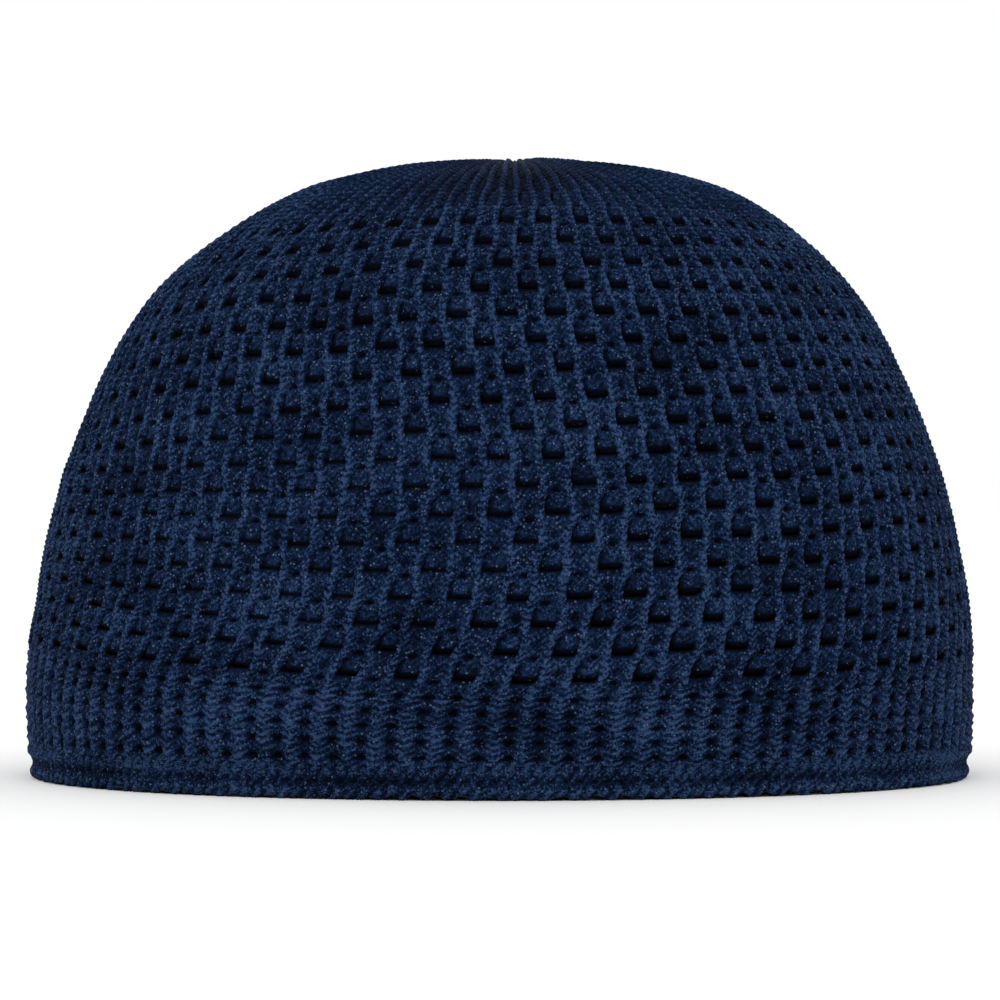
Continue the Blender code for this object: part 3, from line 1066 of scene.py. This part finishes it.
# %% The yarn
def navy(finish, light, relief, luck, glint):
    """A colour for how light a point is, then painted glints, then the painted shade of a hole."""
    dark_navy = colour(0.0016, 0.0036, 0.0095)
    mid_navy = colour(0.0060, 0.0150, 0.0460)
    light_navy = finish.mix(
        luck.out("Green"), colour(0.035, 0.055, 0.142), colour(0.023, 0.063, 0.132))
    base = finish.mix(light.between(0.08, 0.55), dark_navy, mid_navy)
    base = finish.mix(light.between(0.42, 1.05), base, light_navy)
    base = finish.mix(glint * 0.6, base, colour(0.13, 0.18, 0.27))
    return finish.mix(relief.between(-1.0, -0.1), colour(0.0009, 0.0014, 0.0032), base)


def yarn(name, shade, depth):
    """A knit finish on a piece's chart. Shade scales the light, depth the bump."""
    finish = Finish(name)
    place = finish.node("ShaderNodeTexCoord").out("Object")
    stitch, own = stitch_nodes(finish, place)
    patch = finish.attribute("patch")
    relief = finish.attribute("relief")
    grain, glint, luck, drift, tight = filament_nodes(finish, place)

    body = stitch * 0.33 + grain + own * 0.30 * (1 - tight) + (drift - 0.5) * 0.5
    # Painted light and shade: the crests lighter, the patches darker, and every point darker the
    # lower it stands.
    body = body * (0.90 + relief.between(0.55, 0.95) * 0.40)
    body = body * (1 - patch * 0.24) + patch * 0.05
    light = (body * 0.92 * shade) * relief.between(-0.9, 0.80)
    base = navy(finish, light, relief, luck, glint)

    swell = stitch * (0.9 - patch * 0.6) + grain * 0.9
    bump = finish.node("ShaderNodeBump", {}, {
        "Height": swell, "Strength": 0.75, "Distance": depth})
    rough = 0.58 - grain * 0.16 - glint * 0.2
    shader = finish.node("ShaderNodeBsdfPrincipled", {}, {
        "Base Color": base, "Roughness": rough, "Normal": bump,
        "Specular IOR Level": 0.01, "Sheen Weight": 0.003, "Sheen Roughness": 0.45,
        "Sheen Tint": colour(0.35, 0.55, 1.0)})
    finish.node("ShaderNodeOutputMaterial", {}, {"Surface": shader})
    return finish.material


crown_yarn = yarn("crown_yarn", 0.93, 0.35 * MM)
band_yarn = yarn("band_yarn", 1.28, 0.40 * MM)
hem_yarn = yarn("hem_yarn", 1.18, 0.45 * MM)
for pieces, node, material, slot in (
        (crown_pieces, "crown", crown_yarn, "crown_yarn"),
        ([band_piece], "band", band_yarn, "band_yarn"),
        ([hem], "hem", hem_yarn, "hem_yarn")):
    for piece in pieces:
        piece.data.materials.append(material)
        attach(piece, "root")
        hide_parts(node)
print(len(crown_pieces) + 2, "pieces in three finishes")

# %% [markdown]
# ## The floor
#
# The cap rests on a plain pale floor, because without one it would seem to
# float. A curved sheet would hide the floor's far edge, but a plane that is
# large enough melts into the white of the world by itself.

# %% The floor
FLOOR_SIZE = 80.0
bpy.ops.mesh.primitive_plane_add(size=FLOOR_SIZE, location=(0.0, 0.0, 0.0))
floor = bpy.context.object
floor.name = "floor"
floor_finish = Finish("pale_floor")
pale = floor_finish.node("ShaderNodeBsdfPrincipled", {}, {
    "Base Color": colour(0.9, 0.9, 0.9), "Roughness": 0.9})
floor_finish.node("ShaderNodeOutputMaterial", {}, {"Surface": pale})
floor.data.materials.append(floor_finish.material)
print("floor", FLOOR_SIZE, "m")

# %% [markdown]
# ## The light
#
# The light in the photograph is soft and almost even, from above and in front.
# Large area lamps could give it, but their light falls off across the cap. A
# white world gives the even part here, and one wide sun shapes the stitches.

# %% The light
WORLD_STRENGTH = 1.0
SUN_PLACE = (-0.05, -1.0, 1.1)
SUN_AIM = (0.0, 0.0, 0.06)
SUN_ANGLE = np.radians(50)
SUN_STRENGTH = 0.9
world = bpy.data.worlds.new("studio")
world.use_nodes = True
background = world.node_tree.nodes["Background"]
background.inputs["Color"].default_value = colour(1.0, 1.0, 1.0)
background.inputs["Strength"].default_value = WORLD_STRENGTH
bpy.context.scene.view_settings.view_transform = "Standard"
bpy.context.scene.world = world


def facing(place, aim):
    """The turn of a lamp or camera at a place that faces a point."""
    return (Vector(aim) - Vector(place)).to_track_quat("-Z", "Y").to_euler()


def soft_light(name, place, aim, width, strength):
    """A distant lamp of a wide angle that shines towards a point."""
    data = bpy.data.lights.new(name, "SUN")
    data.angle = width
    data.energy = strength
    lamp = bpy.data.objects.new(name, data)
    lamp.location = place
    lamp.rotation_euler = facing(place, aim)
    bpy.context.scene.collection.objects.link(lamp)


soft_light("key", SUN_PLACE, SUN_AIM, SUN_ANGLE, SUN_STRENGTH)
print("sun", round(float(np.degrees(SUN_ANGLE))), "degrees wide")

# %% [markdown]
# ## The camera
#
# The camera stands nearly level with the lower part of the cap, as in the
# photograph, a little above the floor. A wide lens close by would make the
# front bulge and hide the sides, so a long lens is used from further away.

# %% The camera
CAMERA_PLACE = (0.0, -0.900, 0.054)
CAMERA_AIM = (0.0, 0.0, 0.0556)
FOCAL_LENGTH = 160.3
SENSOR_WIDTH = 36.0
camera_data = bpy.data.cameras.new("camera")
camera_data.lens = FOCAL_LENGTH
camera_data.sensor_width = SENSOR_WIDTH
camera = bpy.data.objects.new("camera", camera_data)
bpy.context.scene.collection.objects.link(camera)
camera.location = CAMERA_PLACE
camera.rotation_euler = facing(CAMERA_PLACE, CAMERA_AIM)
bpy.context.scene.camera = camera
print("camera", round(-CAMERA_PLACE[1], 2), "m away, lens", FOCAL_LENGTH, "mm")
